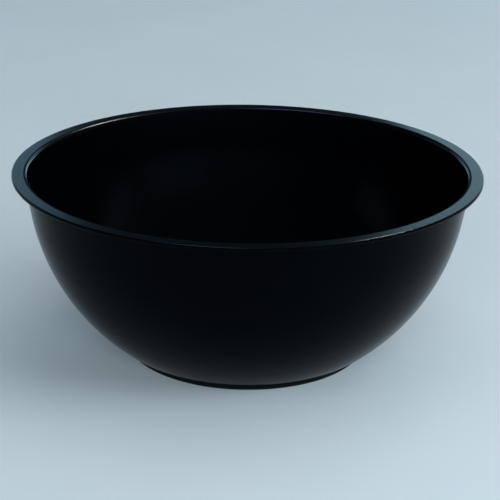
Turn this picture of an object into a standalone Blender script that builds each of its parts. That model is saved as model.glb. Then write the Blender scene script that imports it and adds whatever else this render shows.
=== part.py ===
"""A salon hair color bowl: a moulded plastic shell standing on a press-fit rubber ring.

The frame is metres, +Z up. The origin is the centre of the base, on the surface that the bowl
stands on, and every piece is turned about Z. A profile is a list of (radius, height) points.
"""

import math

import bmesh
import bpy

MM = 0.001

# Overall sizes
RIM_DIAMETER = 140.0 * MM
HEIGHT = 56.8 * MM

# Shell: a sphere's wall, which runs straight in its top part so that it leaves the mould
WALL = 1.1 * MM
WALL_STRAIGHT = 11.7 * MM
FLOOR = 1.4 * MM
FLOOR_BLEND = 8.0 * MM
RIM_OVERHANG = 3.4 * MM
RIM_THICKNESS = 1.1 * MM
RIM_INNER_ROUND = 1.2 * MM
RIM_OUTER_ROUND = 0.4 * MM
RIM_FILLET = 1.0 * MM

# Ring that the bowl stands on
RING_DIAMETER = 73.2 * MM
RING_WIDTH = 5.1 * MM
RING_STANDOFF = 3.1 * MM
RING_SEAT_DEPTH = 1.6 * MM
RING_OUTER_ROUND = 2.6 * MM
RING_INNER_ROUND = 0.7 * MM
RING_LEAD_IN = 0.3 * MM

# Joint between shell and ring
FIT_CLEARANCE = 0.3 * MM
SKIRT_EDGE = 1.2 * MM
SPIGOT_WALL = 1.4 * MM
SPIGOT_GROUND_GAP = 0.8 * MM
BEAD_HEIGHT = 1.2 * MM
BEAD_DEPTH = 0.4 * MM

# Mark that the injection gate leaves under the floor
GATE_DIMPLE_RADIUS = 4.0 * MM
GATE_DIMPLE_DEPTH = 0.4 * MM
GATE_STUB_RADIUS = 1.4 * MM
GATE_STUB_HEIGHT = 0.6 * MM

# Facets
SEGMENTS = 64
WALL_STEPS = 10
BLEND_STEPS = 4
ROUND_STEPS = 3

# Values that follow from the ones above
RIM_RADIUS = RIM_DIAMETER / 2
WALL_TOP_RADIUS = RIM_RADIUS - RIM_OVERHANG
RIM_UNDER_Z = HEIGHT - RIM_THICKNESS
RING_OUTER = RING_DIAMETER / 2
RING_INNER = RING_OUTER - RING_WIDTH
GROOVE_OUTER = RING_OUTER + FIT_CLEARANCE
SPIGOT_OUTER = RING_INNER - FIT_CLEARANCE
SPIGOT_INNER = SPIGOT_OUTER - SPIGOT_WALL
SKIRT_RADIUS = GROOVE_OUTER + SKIRT_EDGE
UNDERSIDE_Z = RING_STANDOFF + RING_SEAT_DEPTH
FLOOR_Z = UNDERSIDE_Z + FLOOR
BEAD_Z = (SPIGOT_GROUND_GAP + UNDERSIDE_Z) / 2

BLACK_PLASTIC = (0.008, 0.010, 0.013)
BLACK_RUBBER = (0.012, 0.012, 0.013)


def body_sphere():
    """Centre's height and radius of the outer wall's sphere, and the lean of its straight part.

    The centre is on the axis. The sphere passes through the edge of the skirt, and the straight
    part touches it and ends at the rim. The lean is the angle between that part and the axis.
    """
    top = WALL_TOP_RADIUS**2 + HEIGHT**2 - WALL_STRAIGHT**2
    edge = SKIRT_RADIUS**2 + RING_STANDOFF**2
    centre_z = (top - edge) / (2 * (HEIGHT - RING_STANDOFF))
    radius = math.hypot(SKIRT_RADIUS, centre_z - RING_STANDOFF)
    to_top = math.atan2(HEIGHT - centre_z, WALL_TOP_RADIUS)
    return centre_z, radius, math.atan2(WALL_STRAIGHT, radius) - to_top


def arc(centre, radius, start, end, steps):
    """Points on an arc, with its angles in radians from +radius towards +height."""
    turn = (end - start) / steps
    return [
        (
            centre[0] + radius * math.cos(start + turn * i),
            centre[1] + radius * math.sin(start + turn * i),
        )
        for i in range(steps + 1)
    ]


def beside_wall(sphere_z, lean, distance, height):
    """Point at that height and, square to the wall's straight part, that far from the centre."""
    above = (height - sphere_z) * math.sin(lean)
    return (distance + above) / math.cos(lean), height


def angle_of(point, sphere_z):
    return math.atan2(point[1] - sphere_z, point[0])


def inside_profile(sphere_z, inner, lean):
    """From the middle of the floor up the inside to the start of the rim's flat face."""
    blend_z = FLOOR_Z + FLOOR_BLEND
    blend_r = math.sqrt((inner - FLOOR_BLEND) ** 2 - (blend_z - sphere_z) ** 2)
    low = angle_of((blend_r, blend_z), sphere_z)
    lip = beside_wall(sphere_z, lean, inner + RIM_INNER_ROUND, HEIGHT - RIM_INNER_ROUND)
    floor_blend = arc((blend_r, blend_z), FLOOR_BLEND, -math.pi / 2, low, BLEND_STEPS)
    wall = arc((0, sphere_z), inner, low, -lean, WALL_STEPS)
    lip_round = arc(lip, RIM_INNER_ROUND, math.pi - lean, math.pi / 2, BLEND_STEPS)
    return [(0, FLOOR_Z)] + floor_blend + wall[1:] + lip_round


def rim_profile(sphere_z, outer, lean):
    """Round the rim's outer edge and back under it to the top of the outer wall."""
    edge_r = RIM_RADIUS - RIM_OUTER_ROUND
    upper = (edge_r, HEIGHT - RIM_OUTER_ROUND)
    lower = (edge_r, RIM_UNDER_Z + RIM_OUTER_ROUND)
    under = beside_wall(sphere_z, lean, outer + RIM_FILLET, RIM_UNDER_Z - RIM_FILLET)
    return (
        arc(upper, RIM_OUTER_ROUND, math.pi / 2, 0, ROUND_STEPS)
        + arc(lower, RIM_OUTER_ROUND, 0, -math.pi / 2, ROUND_STEPS)
        + arc(under, RIM_FILLET, math.pi / 2, math.pi - lean, ROUND_STEPS)
    )


def outside_profile(sphere_z, outer, lean):
    """From the end of the straight part down the outside to the edge of the skirt."""
    low = angle_of((SKIRT_RADIUS, RING_STANDOFF), sphere_z)
    return arc((0, sphere_z), outer, -lean, low, WALL_STEPS)


def bead(radius, depth, reach):
    """A snap bead that stands out from a wall of that radius, from its top to its foot."""
    return [
        (radius, BEAD_Z + reach),
        (radius + depth, BEAD_Z + reach - depth),
        (radius + depth, BEAD_Z - reach + depth),
        (radius, BEAD_Z - reach),
    ]


def base_profile():
    """From the groove that takes the ring, round the spigot, to the middle of the underside."""
    dimple_z = UNDERSIDE_Z + GATE_DIMPLE_DEPTH
    stub_z = dimple_z - GATE_STUB_HEIGHT
    groove = [
        (GROOVE_OUTER, RING_STANDOFF),
        (GROOVE_OUTER, UNDERSIDE_Z),
        (SPIGOT_OUTER, UNDERSIDE_Z),
    ]
    spigot_end = [
        (SPIGOT_OUTER, SPIGOT_GROUND_GAP),
        (SPIGOT_INNER, SPIGOT_GROUND_GAP),
        (SPIGOT_INNER, UNDERSIDE_Z),
    ]
    gate = [
        (GATE_DIMPLE_RADIUS, UNDERSIDE_Z),
        (GATE_DIMPLE_RADIUS - GATE_DIMPLE_DEPTH, dimple_z),
        (GATE_STUB_RADIUS, dimple_z),
        (GATE_STUB_RADIUS, stub_z),
        (0, stub_z),
    ]
    return groove + bead(SPIGOT_OUTER, BEAD_DEPTH, BEAD_HEIGHT / 2) + spigot_end + gate


def shell_profile():
    """The shell's half section, from the middle of its floor to the middle of its underside."""
    sphere_z, outer, lean = body_sphere()
    return (
        inside_profile(sphere_z, outer - WALL, lean)
        + rim_profile(sphere_z, outer, lean)
        + outside_profile(sphere_z, outer, lean)
        + base_profile()
    )


def ring_profile():
    """The ring's section: flat underneath, with a groove inside that takes the shell's bead."""
    top = UNDERSIDE_Z - FIT_CLEARANCE
    inner_foot = (RING_INNER + RING_INNER_ROUND, RING_INNER_ROUND)
    outer_foot = (RING_OUTER - RING_OUTER_ROUND, RING_OUTER_ROUND)
    foot = arc(inner_foot, RING_INNER_ROUND, math.pi, 1.5 * math.pi, ROUND_STEPS)
    foot += arc(outer_foot, RING_OUTER_ROUND, -math.pi / 2, 0, 2 * ROUND_STEPS)
    head = [
        (RING_OUTER, top - RING_LEAD_IN),
        (RING_OUTER - RING_LEAD_IN, top),
        (RING_INNER + RING_LEAD_IN, top),
        (RING_INNER, top - RING_LEAD_IN),
    ]
    return foot + head + bead(RING_INNER, BEAD_DEPTH, BEAD_HEIGHT / 2 + FIT_CLEARANCE)


def finish(name, color, roughness):
    material = bpy.data.materials.new(name)
    material.use_nodes = True
    shader = material.node_tree.nodes["Principled BSDF"]
    shader.inputs["Base Color"].default_value = (*color, 1)
    shader.inputs["Roughness"].default_value = roughness
    shader.inputs["Metallic"].default_value = 0
    return material


def turned(name, profile, is_loop, material):
    """A solid of revolution about Z: a loop makes a ring, an open profile ends on the axis."""
    made = bmesh.new()
    points = [made.verts.new((radius, 0, height)) for radius, height in profile]
    following = points[1:] + points[:1] if is_loop else points[1:]
    edges = [made.edges.new(pair) for pair in zip(points, following)]
    bmesh.ops.spin(
        made,
        geom=points + edges,
        cent=(0, 0, 0),
        axis=(0, 0, 1),
        angle=2 * math.pi,
        steps=SEGMENTS,
        use_merge=True,
    )
    bmesh.ops.remove_doubles(made, verts=made.verts, dist=0.001 * MM)
    bmesh.ops.recalc_face_normals(made, faces=made.faces)
    mesh = bpy.data.meshes.new(name)
    made.to_mesh(mesh)
    made.free()
    mesh.shade_smooth()
    mesh.set_sharp_from_angle(angle=math.radians(40))
    mesh.materials.append(material)
    obj = bpy.data.objects.new(name, mesh)
    bpy.context.scene.collection.objects.link(obj)
    return obj


def main():
    for obj in list(bpy.data.objects):
        bpy.data.objects.remove(obj)
    turned("bowl_shell", shell_profile(), False, finish("black_gloss_plastic", BLACK_PLASTIC, 0.16))
    turned("non_slip_ring", ring_profile(), True, finish("black_rubber", BLACK_RUBBER, 0.7))


main()
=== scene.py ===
# %% [markdown]
# # A salon hair color bowl
#
# The real object is a bowl that a hairdresser mixes color in: black polypropylene, moulded in one
# shot and polished to a gloss, with a flat rim to hold it by. A ring of soft rubber is pressed on
# below, so that the bowl doesn't slide while it is stirred.
#
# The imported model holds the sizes, but it is faceted, and a glossy black surface shows each facet
# as a break in its reflections. So this file turns both pieces again from the same sizes, with
# finer roundings and many more steps, and spends the rest of its lines on finishes and light.

# %% Load the frame

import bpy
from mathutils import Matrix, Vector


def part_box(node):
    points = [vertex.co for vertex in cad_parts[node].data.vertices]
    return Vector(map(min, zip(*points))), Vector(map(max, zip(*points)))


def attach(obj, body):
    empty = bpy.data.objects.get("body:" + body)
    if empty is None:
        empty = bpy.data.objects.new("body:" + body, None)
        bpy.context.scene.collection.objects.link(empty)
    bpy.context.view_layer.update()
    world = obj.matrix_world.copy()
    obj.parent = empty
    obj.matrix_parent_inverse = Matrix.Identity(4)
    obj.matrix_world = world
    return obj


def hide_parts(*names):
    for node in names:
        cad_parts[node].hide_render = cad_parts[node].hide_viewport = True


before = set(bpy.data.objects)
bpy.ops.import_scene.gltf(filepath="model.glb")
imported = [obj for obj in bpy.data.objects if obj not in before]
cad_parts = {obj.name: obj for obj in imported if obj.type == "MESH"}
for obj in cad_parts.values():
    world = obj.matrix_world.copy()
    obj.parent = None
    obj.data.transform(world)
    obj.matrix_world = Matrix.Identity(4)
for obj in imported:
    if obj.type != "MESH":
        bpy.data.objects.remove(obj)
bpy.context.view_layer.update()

# %% [markdown]
# ## The sizes that everything is worked out from
#
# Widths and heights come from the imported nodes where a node's box can give them, so the pieces
# here can't drift away from it. The others are sizes that a moulder would name: the wall, the
# roundings of the rim, and the straight top of the wall, which leans outwards so that the
# moulding slides off its steel core.

# %% Sizes

import math

import bmesh
import bpy
from mathutils import Matrix, Vector

MM = 0.001
SAME_POINT = 0.001 * MM

shell_low, shell_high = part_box("bowl_shell")
ring_low, ring_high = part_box("non_slip_ring")

RIM_RADIUS = shell_high.x
HEIGHT = shell_high.z
WALL = 1.1 * MM
WALL_STRAIGHT = 11.7 * MM
FLOOR = 1.4 * MM
FLOOR_BLEND = 8.0 * MM
RIM_OVERHANG = 3.4 * MM
RIM_THICKNESS = 1.1 * MM
RIM_INNER_ROUND = 1.2 * MM
RIM_OUTER_ROUND = 0.4 * MM
RIM_FILLET = 1.0 * MM

FIT_CLEARANCE = 0.3 * MM
SKIRT_EDGE = 1.2 * MM
RING_STANDOFF = 3.1 * MM
RING_WIDTH = 5.1 * MM
SPIGOT_WALL = 1.4 * MM

RING_OUTER = ring_high.x
RING_INNER = RING_OUTER - RING_WIDTH
GROOVE_OUTER = RING_OUTER + FIT_CLEARANCE
SKIRT_RADIUS = GROOVE_OUTER + SKIRT_EDGE
SPIGOT_OUTER = RING_INNER - FIT_CLEARANCE
SPIGOT_INNER = SPIGOT_OUTER - SPIGOT_WALL
UNDERSIDE_Z = ring_high.z + FIT_CLEARANCE
FLOOR_Z = UNDERSIDE_Z + FLOOR
WALL_TOP_RADIUS = RIM_RADIUS - RIM_OVERHANG

print(f"bowl {2000 * RIM_RADIUS:.1f} mm across and {1000 * HEIGHT:.1f} mm high")

# %% [markdown]
# ## Drawing a section
#
# A bowl is turned about one axis, so its whole shape is in half of a section: a line of points,
# each a radius and a height. `arc` draws a rounding or a stretch of the sphere. `joined` sets
# stretches end to end and puts a holding point just inside each end of every straight gap.
# Blender blends the shading of faces that meet, and the two short strips take that blend, so the
# long flat between them stays flat. A Bevel modifier could round the corners too, but then they
# would all have one radius, and a moulding's corners don't.

# %% Arcs and joined stretches

HOLD = 0.06 * MM


def arc(centre, radius, start, end, steps):
    """Points on an arc, with its angles in radians from outwards towards upwards."""
    turn = (end - start) / steps
    angles = [start + turn * i for i in range(steps + 1)]
    return [
        (centre[0] + radius * math.cos(a), centre[1] + radius * math.sin(a)) for a in angles
    ]


def joined(stretches):
    """One line of points through all the stretches, with the gaps between them held straight."""
    line = list(stretches[0])
    for stretch in stretches[1:]:
        start, end = Vector(line[-1]), Vector(stretch[0])
        gap = end - start
        if gap.length > 3 * HOLD:
            step = gap.normalized() * HOLD
            line += [tuple(start + step), tuple(end - step)]
        line += [p for p in stretch if (Vector(p) - Vector(line[-1])).length > SAME_POINT]
    return line


print("trial line:", len(joined([arc((0, 0), 1, 0, 1, 4), [(0, 1)]])), "points")

# %% [markdown]
# ## The sphere of the wall
#
# The outside of the bowl is part of a sphere from the skirt up to where the wall runs straight.
# Three facts fix it: its centre is on the axis, it passes through the skirt's edge, and the
# straight stretch leaves it without a kink and ends at the rim.

# %% Fit the sphere

top_square = WALL_TOP_RADIUS**2 + HEIGHT**2 - WALL_STRAIGHT**2
edge_square = SKIRT_RADIUS**2 + RING_STANDOFF**2
SPHERE_Z = (top_square - edge_square) / (2 * (HEIGHT - RING_STANDOFF))
OUTER = math.hypot(SKIRT_RADIUS, SPHERE_Z - RING_STANDOFF)
LEAN = math.atan2(WALL_STRAIGHT, OUTER) - math.atan2(HEIGHT - SPHERE_Z, WALL_TOP_RADIUS)
INNER = OUTER - WALL


def beside_wall(distance, height):
    """Point at that height and, square to the straight part of the wall, that far out."""
    return (distance + (height - SPHERE_Z) * math.sin(LEAN)) / math.cos(LEAN), height


print(f"sphere {1000 * OUTER:.1f} mm in radius, wall leaning {math.degrees(LEAN):.1f} degrees")

# %% [markdown]
# ## Easing the corners
#
# A mould leaves many corners under the base nearly sharp, but never perfectly sharp, and the
# rubber's corners are softer still. `eased` walks along straight lines and swaps each corner for
# a small curve. The curve starts and ends the same distance from the corner, and less than that
# where a side is short, so a small bead keeps its shape.

# %% Eased corners


def eased(corners, size, steps=4):
    """The line through the corners, with each inner corner swapped for a small curve."""
    line = [tuple(corners[0])]
    for before, at, after in zip(corners, corners[1:], corners[2:]):
        before, at, after = Vector(before), Vector(at), Vector(after)
        into, out_of = before - at, after - at
        start = at + into.normalized() * min(size, 0.4 * into.length)
        end = at + out_of.normalized() * min(size, 0.4 * out_of.length)
        for i in range(steps + 1):
            t = i / steps
            line.append(tuple(start * (1 - t) ** 2 + at * (2 * t * (1 - t)) + end * t**2))
    return line + [tuple(corners[-1])]


print("an eased square corner:", len(eased([(1, 0), (0, 0), (0, 1)], 0.1)), "points")

# %% [markdown]
# ## Section of the shell
#
# The line starts in the middle of the floor and goes up the inside, over the lip and the rim,
# down the outside to the skirt, and under the base. The base has a groove that takes the rubber
# ring, a spigot with a snap bead inside it, and in its middle the dimple and stub of the gate,
# where the plastic was let into the mould.

# %% Sizes below the base

MOULD_EDGE = 0.12 * MM
SPIGOT_GROUND_GAP = 0.8 * MM
BEAD_DEPTH = 0.4 * MM
BEAD_REACH = 0.6 * MM
BEAD_Z = (SPIGOT_GROUND_GAP + UNDERSIDE_Z) / 2
GATE_DIMPLE_RADIUS = 4.0 * MM
GATE_DIMPLE_DEPTH = 0.4 * MM
GATE_STUB_RADIUS = 1.4 * MM
GATE_STUB_HEIGHT = 0.6 * MM


def bead(radius, reach):
    """A snap bead on a wall of that radius, from its top to its foot."""
    return [
        (radius, BEAD_Z + reach),
        (radius + BEAD_DEPTH, BEAD_Z + reach - BEAD_DEPTH),
        (radius + BEAD_DEPTH, BEAD_Z - reach + BEAD_DEPTH),
        (radius, BEAD_Z - reach),
    ]


print(f"the bead stands {1000 * BEAD_Z:.2f} mm above the table")

# %% [markdown]
# ## Where the roundings sit
#
# The floor's blend touches both the floor and the wall's inner sphere, which fixes its centre. The
# lip and the fillet under the rim touch the straight part of the wall from its two sides.

# %% Centres and angles

UP, DOWN, OUTWARDS = math.pi / 2, -math.pi / 2, 0.0

blend_z = FLOOR_Z + FLOOR_BLEND
blend_r = math.sqrt((INNER - FLOOR_BLEND) ** 2 - (blend_z - SPHERE_Z) ** 2)
wall_low = math.atan2(blend_z - SPHERE_Z, blend_r)
skirt_low = math.atan2(RING_STANDOFF - SPHERE_Z, SKIRT_RADIUS)
lip = beside_wall(INNER + RIM_INNER_ROUND, HEIGHT - RIM_INNER_ROUND)
under_rim = beside_wall(OUTER + RIM_FILLET, HEIGHT - RIM_THICKNESS - RIM_FILLET)
edge = RIM_RADIUS - RIM_OUTER_ROUND
edge_high = HEIGHT - RIM_OUTER_ROUND
edge_low = HEIGHT - RIM_THICKNESS + RIM_OUTER_ROUND
print(f"the floor is flat out to {1000 * blend_r:.1f} mm from the axis")

# %% [markdown]
# ## Corners under the base
#
# From the skirt inwards everything is straight: the groove, the spigot with its bead, and the
# gate's dimple and stub. So a list of corners is enough, and `eased` rounds them. The list starts
# with the last two points of the wall, so that the skirt's own edge is eased with the rest.

# %% Points under the base

OUTSIDE_STEPS = 72

outside = arc((0, SPHERE_Z), OUTER, -LEAN, skirt_low, OUTSIDE_STEPS)
dimple_z = UNDERSIDE_Z + GATE_DIMPLE_DEPTH
base = [outside[-2], outside[-1], (GROOVE_OUTER, RING_STANDOFF), (GROOVE_OUTER, UNDERSIDE_Z)]
base += [(SPIGOT_OUTER, UNDERSIDE_Z)] + bead(SPIGOT_OUTER, BEAD_REACH)
base += [(SPIGOT_OUTER, SPIGOT_GROUND_GAP), (SPIGOT_INNER, SPIGOT_GROUND_GAP)]
base += [(SPIGOT_INNER, UNDERSIDE_Z), (GATE_DIMPLE_RADIUS, UNDERSIDE_Z)]
base += [(GATE_DIMPLE_RADIUS - GATE_DIMPLE_DEPTH, dimple_z), (GATE_STUB_RADIUS, dimple_z)]
base += [(GATE_STUB_RADIUS, dimple_z - GATE_STUB_HEIGHT), (0, dimple_z - GATE_STUB_HEIGHT)]
print(len(base), "corners from the skirt to the gate mark")

# %% [markdown]
# ## The whole shell in one line
#
# The more a rounding shows, the more steps it gets: the lip's catches a bright line of light, and
# the small ones at the rim's edge are hardly seen.

# %% Points of the shell

INSIDE_STEPS = 60
BLEND_STEPS = 16
LIP_STEPS = 12
EDGE_STEPS = 8

shell_line = joined(
    [
        [(0, FLOOR_Z)],
        arc((blend_r, blend_z), FLOOR_BLEND, DOWN, wall_low, BLEND_STEPS),
        arc((0, SPHERE_Z), INNER, wall_low, -LEAN, INSIDE_STEPS),
        arc(lip, RIM_INNER_ROUND, math.pi - LEAN, UP, LIP_STEPS),
        arc((edge, edge_high), RIM_OUTER_ROUND, UP, OUTWARDS, EDGE_STEPS),
        arc((edge, edge_low), RIM_OUTER_ROUND, OUTWARDS, DOWN, EDGE_STEPS),
        arc(under_rim, RIM_FILLET, UP, math.pi - LEAN, EDGE_STEPS),
        outside[:-2],
        eased(base, MOULD_EDGE),
    ]
)
print(len(shell_line), "points in the shell's half section")

# %% [markdown]
# ## Section of the ring
#
# The ring's section is a closed loop. Its foot is flat, with a wide rounding outside that shows
# under the bowl as a narrow dark band, and a small one inside. The groove in its bore fits over
# the spigot's bead.

# %% Points of the ring

RING_OUTER_ROUND = 2.6 * MM
RING_INNER_ROUND = 0.7 * MM
RING_LEAD_IN = 0.3 * MM
RUBBER_EDGE = 0.15 * MM
FOOT_STEPS = 20

ring_top = ring_high.z
foot_in = (RING_INNER + RING_INNER_ROUND, RING_INNER_ROUND)
foot_out = (RING_OUTER - RING_OUTER_ROUND, RING_OUTER_ROUND)
bore = [(RING_OUTER, foot_out[1]), (RING_OUTER, ring_top - RING_LEAD_IN)]
bore += [(RING_OUTER - RING_LEAD_IN, ring_top), (RING_INNER + RING_LEAD_IN, ring_top)]
bore += [(RING_INNER, ring_top - RING_LEAD_IN)]
bore += bead(RING_INNER, BEAD_REACH + FIT_CLEARANCE) + [(RING_INNER, RING_INNER_ROUND)]

ring_line = joined(
    [
        arc(foot_in, RING_INNER_ROUND, math.pi, 1.5 * math.pi, EDGE_STEPS),
        arc(foot_out, RING_OUTER_ROUND, DOWN, OUTWARDS, FOOT_STEPS),
        eased(bore, RUBBER_EDGE),
    ]
)
if (Vector(ring_line[0]) - Vector(ring_line[-1])).length < SAME_POINT:
    ring_line.pop()
print(len(ring_line), "points in the ring's section")

# %% [markdown]
# ## Turning a section
#
# Spin is Blender's lathe: it copies the line round the axis and joins each copy to the next.
# The steps are many, so that the rim's outline is a true curve in a close view. Smooth shading
# hides the facets that are left. The section already has every rounding, so no edge is marked
# sharp.

# %% Turn both pieces

TURN_STEPS = 288
WELD = 0.0005 * MM


def turned(name, line, is_loop):
    """A piece turned about Z: a loop makes a ring, and an open line ends on the axis."""
    made = bmesh.new()
    points = [made.verts.new((radius, 0, height)) for radius, height in line]
    following = points[1:] + points[:1] if is_loop else points[1:]
    edges = [made.edges.new(pair) for pair in zip(points, following)]
    bmesh.ops.spin(
        made,
        geom=points + edges,
        cent=(0, 0, 0),
        axis=(0, 0, 1),
        angle=2 * math.pi,
        steps=TURN_STEPS,
        use_merge=True,
    )
    bmesh.ops.remove_doubles(made, verts=made.verts, dist=WELD)
    bmesh.ops.recalc_face_normals(made, faces=made.faces)
    mesh = bpy.data.meshes.new(name)
    made.to_mesh(mesh)
    made.free()
    mesh.shade_smooth()
    piece = bpy.data.objects.new(name, mesh)
    bpy.context.scene.collection.objects.link(piece)
    print(name, "has", len(mesh.polygons), "faces")
    return piece


shell = turned("turned_shell", shell_line, False)
ring = turned("turned_ring", ring_line, True)

# %% [markdown]
# ## Standing in for the imported nodes
#
# Each turned piece takes the place of its faceted node, which is hidden. Both ride on the one body
# that the part has.

# %% Tie the pieces to the frame

for piece, node in ((shell, "bowl_shell"), (ring, "non_slip_ring")):
    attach(piece, "root")
    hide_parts(node)
    print(piece.name, "stands for", node)

# %% [markdown]
# ## Writing shader maths as Python
#
# A material is a net of nodes, and a net of Math nodes is hard to read as code. So a `Wire` holds
# one output of a node, and `+`, `-` and `*` on it add the Math node that they name. The reflected
# forms make `1 - mask` work too.

# %% Wire


class Wire:
    """One output of a node, with arithmetic."""

    def __init__(self, finish, socket):
        self.finish = finish
        self.socket = socket

    def math(self, operation, first, second):
        settings = {"operation": operation}
        return self.finish.node("ShaderNodeMath", settings, {0: first, 1: second})

    def __add__(self, other):
        return self.math("ADD", self, other)

    def __sub__(self, other):
        return self.math("SUBTRACT", self, other)

    def __mul__(self, other):
        return self.math("MULTIPLY", self, other)

    def __rsub__(self, other):
        return self.math("SUBTRACT", other, self)

    __radd__ = __add__
    __rmul__ = __mul__


print("wires add, subtract and multiply")

# %% [markdown]
# ## Making nodes
#
# `Finish` holds one material. Its `node` method makes a node from its type, its settings, which
# are set first, and what goes into its sockets: a wire is linked, and a plain value is set.

# %% Finish


class Finish:
    """One material, built round its Principled shader."""

    def __init__(self, name):
        self.material = bpy.data.materials.new(name)
        self.material.use_nodes = True
        self.tree = self.material.node_tree
        self.shader = self.tree.nodes["Principled BSDF"]

    def feed(self, socket, value):
        if isinstance(value, Wire):
            self.tree.links.new(value.socket, socket)
        else:
            socket.default_value = value

    def node(self, kind, settings, sockets, output=0):
        made = self.tree.nodes.new(kind)
        for name, value in settings.items():
            setattr(made, name, value)
        for name, value in sockets.items():
            self.feed(made.inputs[name], value)
        return Wire(self, made.outputs[output])

    def surface(self, **values):
        """Sets sockets of the Principled shader. An underscore stands for a space."""
        for name, value in values.items():
            self.feed(self.shader.inputs[name.replace("_", " ")], value)


print("finishes make their nodes")

# %% [markdown]
# ## Knowing where a point is
#
# Wear on a turned piece follows its turning, so the patterns need to know where they are: the
# distance from the axis, and the direction round it. `along_turning` draws a pattern out round the
# axis, which makes the faint lines and the swirls.

# %% Positions


def place(finish):
    """The point on the piece, in metres in the bowl's own frame."""
    return finish.node("ShaderNodeTexCoord", {}, {}, output="Object")


def parts_of(finish, point):
    """The point's x, y and z."""
    made = finish.node("ShaderNodeSeparateXYZ", {}, {"Vector": point}, output="X")
    outputs = made.socket.node.outputs
    return [Wire(finish, outputs[axis]) for axis in "XYZ"]


def polar(finish, point):
    """Distance from the axis, direction round it and height."""
    x, y, z = parts_of(finish, point)
    flat = finish.node("ShaderNodeCombineXYZ", {}, {"X": x, "Y": y})
    length = {"operation": "LENGTH"}
    radius = finish.node("ShaderNodeVectorMath", length, {0: flat}, output="Value")
    turn = finish.node("ShaderNodeMath", {"operation": "ARCTAN2"}, {0: y, 1: x})
    return radius, turn, z


def along_turning(finish, radius, turn, height, squeeze):
    """A point for patterns that run round the axis, longer the smaller the squeeze."""
    sockets = {"X": radius, "Y": turn * squeeze, "Z": height}
    return finish.node("ShaderNodeCombineXYZ", {}, sockets)


print("positions: place, parts_of, polar, along_turning")

# %% [markdown]
# ## Masks that both finishes share
#
# `noise` reads Blender's noise at a size in millimetres, `between` turns the part of a pattern
# above a level into a soft mask, and `blended` mixes two colors. A color never goes through a
# Math node, which would turn it grey.

# %% Masks


def noise(finish, point, size, detail=2.0, roughness=0.5):
    """Noise whose blobs are about that size in metres."""
    settings = {"noise_dimensions": "3D", "normalize": True}
    sockets = {"Vector": point, "Scale": 1 / size, "Detail": detail, "Roughness": roughness}
    return finish.node("ShaderNodeTexNoise", settings, sockets)


def between(finish, value, low, high):
    """A mask: 0 below low, 1 above high, and a smooth slope between them."""
    settings = {"interpolation_type": "SMOOTHSTEP"}
    sockets = {"Value": value, "From Min": low, "From Max": high}
    return finish.node("ShaderNodeMapRange", settings, sockets)


def blended(finish, mask, first, second):
    """The first color where the mask is 0, and the second where it is 1."""
    settings = {"data_type": "RGBA"}
    return finish.node("ShaderNodeMix", settings, {0: mask, 6: first, 7: second}, output=2)


print("masks: noise, between, blended")

# %% [markdown]
# ## Glossy black plastic
#
# A moulded gloss isn't a mirror: the skin sinks and swells by a few thousandths of a millimetre as
# it cools, the mould's polishing leaves faint lines round the axis, and a bowl that has been wiped
# carries hairline swirls, a little haze and a few specks of dust. Each of these is one pattern at
# its own size.

# %% Patterns in the plastic

SWELL_SIZE = 11 * MM
HAZE_SIZE = 24 * MM
LINE_SIZE, LINE_SQUEEZE = 0.35 * MM, 0.002
SWIRL_SIZE, SWIRL_SQUEEZE = 0.8 * MM, 0.01
PATCH_SIZE = 15 * MM
SPECK_SIZE = 1.4 * MM

plastic = Finish("blue_black_gloss_plastic")
point = place(plastic)
radius, turn, height = polar(plastic, point)

swell = noise(plastic, point, SWELL_SIZE, detail=1.5)
haze = noise(plastic, point, HAZE_SIZE, detail=3.0, roughness=0.6)
line_point = along_turning(plastic, radius, turn, height, LINE_SQUEEZE)
lines = noise(plastic, line_point, LINE_SIZE, detail=2.0)
swirl_point = along_turning(plastic, radius, turn, height, SWIRL_SQUEEZE)
swirls = between(plastic, noise(plastic, swirl_point, SWIRL_SIZE, detail=3.0), 0.62, 0.72)
patches = between(plastic, noise(plastic, point, PATCH_SIZE), 0.45, 0.65)
worn = swirls * patches
specks = between(plastic, noise(plastic, point, SPECK_SIZE, detail=1.0), 0.79, 0.84)
print("patterns: swell, haze, lines, worn, specks")

# %% [markdown]
# ## The plastic's surface
#
# The swell, the lines and the swirls go into a bump. Its distance is a millimetre, so the numbers
# in `relief` are heights in millimetres. The haze, the swirls and the specks make it rougher.
#
# The blue-black dye takes almost all the light that enters. The index of refraction is set far
# below polypropylene's own 1.49, because the pale table would show in the body otherwise, and
# such a bowl looks blacker than that. It still reflects at a glancing angle. Values that are the
# same all over, such as this one, are set on the shader itself.

# %% Plastic finish

INK = (0.0002, 0.0003, 0.0006, 1)
INK_PALE = (0.0005, 0.0007, 0.0012, 1)
DUST = (0.006, 0.0065, 0.0075, 1)
PLASTIC_IOR = 1.105
PLASTIC_TINT = (0.72, 0.88, 1.0, 1)

ink = blended(plastic, haze, INK, INK_PALE)
dusted = blended(plastic, specks * 0.5, ink, DUST)
relief = swell * 0.006 + lines * 0.0003 - worn * 0.0004
bump = plastic.node("ShaderNodeBump", {}, {"Strength": 1.0, "Distance": MM, "Height": relief})
plastic.surface(
    Base_Color=dusted,
    Roughness=0.15 + haze * 0.06 + worn * 0.12 + specks * 0.2,
    Normal=bump,
    IOR=PLASTIC_IOR,
    Specular_Tint=PLASTIC_TINT,
)
shell.data.materials.append(plastic.material)
print("plastic has", len(plastic.tree.nodes), "nodes")

# %% [markdown]
# ## Soft black rubber
#
# The ring is matte, with a fine grain from its blasted mould. It stands on worktops, so its foot
# picks up grey dust, and its side has a few long scuffs where the bowl has been slid along. The
# dust is thickest at the very bottom, so height drives that mask.

# %% Patterns in the rubber

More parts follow.
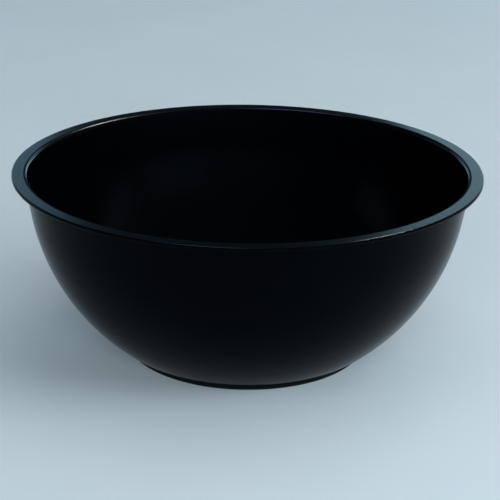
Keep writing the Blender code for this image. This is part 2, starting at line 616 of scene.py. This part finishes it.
GRAIN_SIZE = 0.22 * MM
CLOUD_SIZE = 5 * MM
SCUFF_SIZE, SCUFF_SQUEEZE = 0.6 * MM, 0.006
DUST_FULL, DUST_GONE = 0.1 * MM, 1.6 * MM

rubber = Finish("matte_black_rubber")
point = place(rubber)
radius, turn, height = polar(rubber, point)

grain = noise(rubber, point, GRAIN_SIZE, detail=2.0)
cloud = noise(rubber, point, CLOUD_SIZE, detail=3.0)
scuff_point = along_turning(rubber, radius, turn, height, SCUFF_SQUEEZE)
scuffs = between(rubber, noise(rubber, scuff_point, SCUFF_SIZE, detail=3.0), 0.6, 0.72)
low_down = 1 - between(rubber, height, DUST_FULL, DUST_GONE)
dust = low_down * between(rubber, cloud, 0.35, 0.7)
print("patterns: grain, cloud, scuffs, dust")

# %% [markdown]
# ## The rubber's surface
#
# Grain and cloud raise the bump, and the scuffs are worn into it. Where dust lies, the ring is
# paler and duller.

# %% Rubber finish

RUBBER = (0.0012, 0.0015, 0.0020, 1)
RUBBER_DUST = (0.010, 0.011, 0.012, 1)
RUBBER_IOR = 1.18

shade = blended(rubber, dust * 0.7 + scuffs * 0.2, RUBBER, RUBBER_DUST)
relief = grain * 0.02 + cloud * 0.01 - scuffs * 0.01
bump = rubber.node("ShaderNodeBump", {}, {"Strength": 0.8, "Distance": MM, "Height": relief})
rubber.surface(
    Base_Color=shade,
    Roughness=0.55 + dust * 0.25 + cloud * 0.1,
    Normal=bump,
    IOR=RUBBER_IOR,
)
ring.data.materials.append(rubber.material)
print("rubber has", len(rubber.tree.nodes), "nodes")

# %% [markdown]
# ## The floor
#
# The bowl stands on a pale matte table, here a wide ring. It isn't part of the object. Its hole is
# hidden by the bowl's foot, and lets light through to the underside.

# %% Shape of the floor

FLOOR_RADIUS = 2.5
FLOOR_STEPS = 128
HOLE_RADIUS = RING_INNER + 1.5 * MM

made = bmesh.new()
rings = []
for ring_radius in (HOLE_RADIUS, FLOOR_RADIUS):
    angles = [2 * math.pi * i / FLOOR_STEPS for i in range(FLOOR_STEPS)]
    corners = [(ring_radius * math.cos(a), ring_radius * math.sin(a), 0) for a in angles]
    rings.append([made.verts.new(corner) for corner in corners])
for i in range(FLOOR_STEPS):
    j = (i + 1) % FLOOR_STEPS
    made.faces.new((rings[0][i], rings[1][i], rings[1][j], rings[0][j]))
floor_mesh = bpy.data.meshes.new("studio_floor")
made.to_mesh(floor_mesh)
made.free()
floor = bpy.data.objects.new("studio_floor", floor_mesh)
bpy.context.scene.collection.objects.link(floor)
print("floor", 2 * FLOOR_RADIUS, "m across")

# %% [markdown]
# ## The table's finish
#
# A broad, weak noise keeps the table from looking like plain paper. Its back is clear, so that the
# underside of the bowl can be looked at from below.

# %% Table finish

TABLE = (0.59, 0.62, 0.635, 1)
TABLE_PALE = (0.65, 0.68, 0.695, 1)
MOTTLE_SIZE = 60 * MM

paper = Finish("pale_matte_table")
point = place(paper)
mottle = noise(paper, point, MOTTLE_SIZE, detail=4.0)
paper.surface(
    Base_Color=blended(paper, mottle, TABLE, TABLE_PALE),
    Roughness=0.8 + mottle * 0.1,
    Specular_IOR_Level=0.1,
)
facing = paper.node("ShaderNodeNewGeometry", {}, {}, output="Backfacing")
clear = paper.node("ShaderNodeBsdfTransparent", {}, {})
opaque = Wire(paper, paper.shader.outputs["BSDF"])
seen = paper.node("ShaderNodeMixShader", {}, {0: facing, 1: opaque, 2: clear})
paper.feed(paper.tree.nodes["Material Output"].inputs["Surface"], seen)
floor_mesh.materials.append(paper.material)
print("table has", len(paper.tree.nodes), "nodes")

# %% [markdown]
# ## Soft light
#
# A glossy black thing has almost no color of its own: what it shows is the lamps and the table,
# mirrored. So most lamps have one of two jobs, which Blender lets us keep apart. `lights_table`
# makes a lamp that nothing mirrors: it lights the table, and the table then glows in the lower
# half of the bowl. `only_mirrored` makes one that lights nothing and shows as a reflection.

# %% Kinds of lamp

FOOT = (0, 0, 0)
MIDDLE = (0, 0, 0.05)


def softbox(name, at, aim, size, power, color, lights=True, mirrored=True):
    """A rectangular lamp turned to shine at the aim. It lights things, is mirrored, or both."""
    lamp = bpy.data.lights.new(name, "AREA")
    lamp.shape = "RECTANGLE"
    lamp.size, lamp.size_y = size
    lamp.energy = power
    lamp.color = color
    box = bpy.data.objects.new(name, lamp)
    box.location = at
    box.rotation_euler = (Vector(aim) - Vector(at)).to_track_quat("-Z", "Y").to_euler()
    box.visible_camera = False
    box.visible_diffuse = lights
    box.visible_glossy = mirrored
    bpy.context.scene.collection.objects.link(box)
    print(name, "is", [round(side, 2) for side in size], "m at", at)


def lights_table(name, at, size, power, color):
    softbox(name, at, FOOT, size, power, color, mirrored=False)


def only_mirrored(name, at, size, power, color, aim=MIDDLE):
    softbox(name, at, aim, size, power, color, lights=False)


print("two kinds of lamp, and softbox for one that does both")

# %% [markdown]
# ## Colors of the lamps
#
# The bowl has so little color of its own that its blue comes from what it mirrors. The left side
# is a deeper blue than the right, and the two thin lines on the lip are violet and warm.

# %% Colors of the lamps

WHITE = (0.94, 0.98, 1.0)
ICE = (0.76, 0.91, 1.0)
LEFT_BLUE = (0.40, 0.73, 1.0)
RIGHT_BLUE = (0.50, 0.83, 1.0)
DUSK_BLUE = (0.45, 0.60, 1.0)
LILAC = (0.62, 0.52, 1.0)
WARM = (1.0, 0.92, 0.85)
print("lamp colors run from blue to warm white")

# %% [markdown]
# ## Lamps for the table
#
# Light comes low from the front and the right, a little from the left, and softly from overhead,
# so the bowl's shadow is faint and the table in front of it is pale.

# %% Lamps for the table

lights_table("overhead", (0.3, -0.1, 1.0), (1.0, 1.1), 3.0, WHITE)
lights_table("front_low", (0, -1.2, 0.42), (1.0, 0.4), 13, ICE)
lights_table("left_low", (-1.15, -0.45, 0.42), (0.8, 0.4), 2.0, ICE)
lights_table("right_low", (1.15, -0.35, 0.42), (0.8, 0.4), 12, ICE)

# %% [markdown]
# ## What the bowl mirrors
#
# Two tall boxes stand behind the bowl, at its left and right. The flat rim shows them at its two
# sides, and the gap between them leaves its front dark. The right one lights the table too, which
# is why it is made with `softbox`. Two weaker ones carry them on down towards the table.

# %% Lamps behind the bowl

only_mirrored("behind_left", (-0.56, 1.4, 0.42), (0.70, 0.74), 2.8, LEFT_BLUE)
softbox("behind_right", (0.51, 1.4, 0.42), MIDDLE, (0.70, 0.74), 4.2, RIGHT_BLUE)
only_mirrored("low_left", (-0.60, 1.4, 0.16), (0.6, 0.22), 0.8, LEFT_BLUE)
only_mirrored("low_right", (0.55, 1.4, 0.16), (0.6, 0.22), 1.1, RIGHT_BLUE)

# %% [markdown]
# ## Glints and weak lamps
#
# Two small bright lamps high up draw thin lines along the lip. Weak ones on the other sides give
# the rim and the inside something to show from every side.

# %% Lamps above and beside it

only_mirrored("left_fill", (-1.1, 0.72, 0.5), (0.6, 0.5), 1.5, DUSK_BLUE, aim=(0, 0, 0.04))
only_mirrored("top_glint", (-0.12, 0.2, 0.97), (0.14, 0.4), 8.0, LILAC)
only_mirrored("warm_glint", (0.37, 0.56, 0.87), (0.16, 0.16), 20.0, WARM)
only_mirrored("side_left", (-1.4, 0, 0.45), (0.9, 0.5), 0.8, ICE)
only_mirrored("side_right", (1.4, 0.1, 0.45), (0.9, 0.5), 0.8, ICE)
only_mirrored("front_right", (0.95, -1.0, 0.45), (0.8, 0.5), 0.8, ICE)

# %% [markdown]
# ## A lamp below
#
# The last lamp is under the floor. It shines up through the hole, so that a view from below shows
# the spigot and the gate mark.

# %% Lamp below

softbox("below", (0, 0, -0.5), FOOT, (1.0, 1.0), 40.0, WHITE)

# %% [markdown]
# ## The room
#
# The room fills the shadows on the table, and the rim mirrors it from every side. It is paler at
# the right, where the bowl's wall is brighter too, and dark straight behind the bowl, or the front
# of the rim would shine. The world's Generated coordinate is the direction looked in, so its x
# says how far that is to the right, and its y how nearly it is straight back.

# %% Room

ROOM_LEFT = (0.08, 0.11, 0.13, 1)
ROOM_RIGHT = (0.34, 0.40, 0.44, 1)
ROOM_DARK = (0.035, 0.065, 0.090, 1)
DARK_END, PALE_END = -0.8, 0.3
DARK_BEGINS, DARK_FULL = 0.72, 0.90


class Room(Finish):
    """The world's nodes, written in the same way as a material's."""

    def __init__(self, name):
        self.world = bpy.data.worlds.new(name)
        self.world.use_nodes = True
        self.tree = self.world.node_tree
        self.shader = self.tree.nodes["Background"]


room = Room("soft_room")
look = room.node("ShaderNodeTexCoord", {}, {}, output="Generated")
across, along, _ = parts_of(room, look)
walls = blended(room, between(room, across, DARK_END, PALE_END), ROOM_LEFT, ROOM_RIGHT)
straight_back = between(room, along, DARK_BEGINS, DARK_FULL)
room.surface(Color=blended(room, straight_back, walls, ROOM_DARK))
bpy.context.scene.world = room.world
bpy.context.scene.view_settings.view_transform = "Standard"
print("room has", len(room.tree.nodes), "nodes")

# %% [markdown]
# ## The camera
#
# The bowl is seen from about 20 degrees above the table, from four times its width away, so its
# mouth is a narrow ellipse and its far side is not much smaller than its near side.

# %% Camera

ELEVATION = math.radians(20.13)
ROLL = math.radians(0.735)
DISTANCE = 8 * RIM_RADIUS
AIM_RIGHT = 0.0141 * RIM_RADIUS
AIM_BELOW_RIM = 0.3728 * RIM_RADIUS
SENSOR_WIDTH = 36
FOCAL_LENGTH = 133.06
NEAREST = 0.05

camera = bpy.data.objects.new("camera", bpy.data.cameras.new("camera"))
bpy.context.scene.collection.objects.link(camera)
camera.data.sensor_width = SENSOR_WIDTH
camera.data.lens = FOCAL_LENGTH
camera.data.clip_start = NEAREST
aim = Vector((AIM_RIGHT, 0, HEIGHT - AIM_BELOW_RIM))
back = Vector((0, -math.cos(ELEVATION), math.sin(ELEVATION)))
turn_to_aim = (-back).to_track_quat("-Z", "Y").to_matrix().to_4x4()
place_at_eye = Matrix.Translation(aim + DISTANCE * back)
camera.matrix_world = place_at_eye @ turn_to_aim @ Matrix.Rotation(ROLL, 4, "Z")
bpy.context.scene.camera = camera
print("camera at", [round(v, 3) for v in camera.location])

# %% [markdown]
# ## Bringing the scene up to date
#
# The turned pieces are meant to fill the same box as the imported model. The last step only brings
# the scene up to date.

# %% Update the scene

bpy.context.view_layer.update()
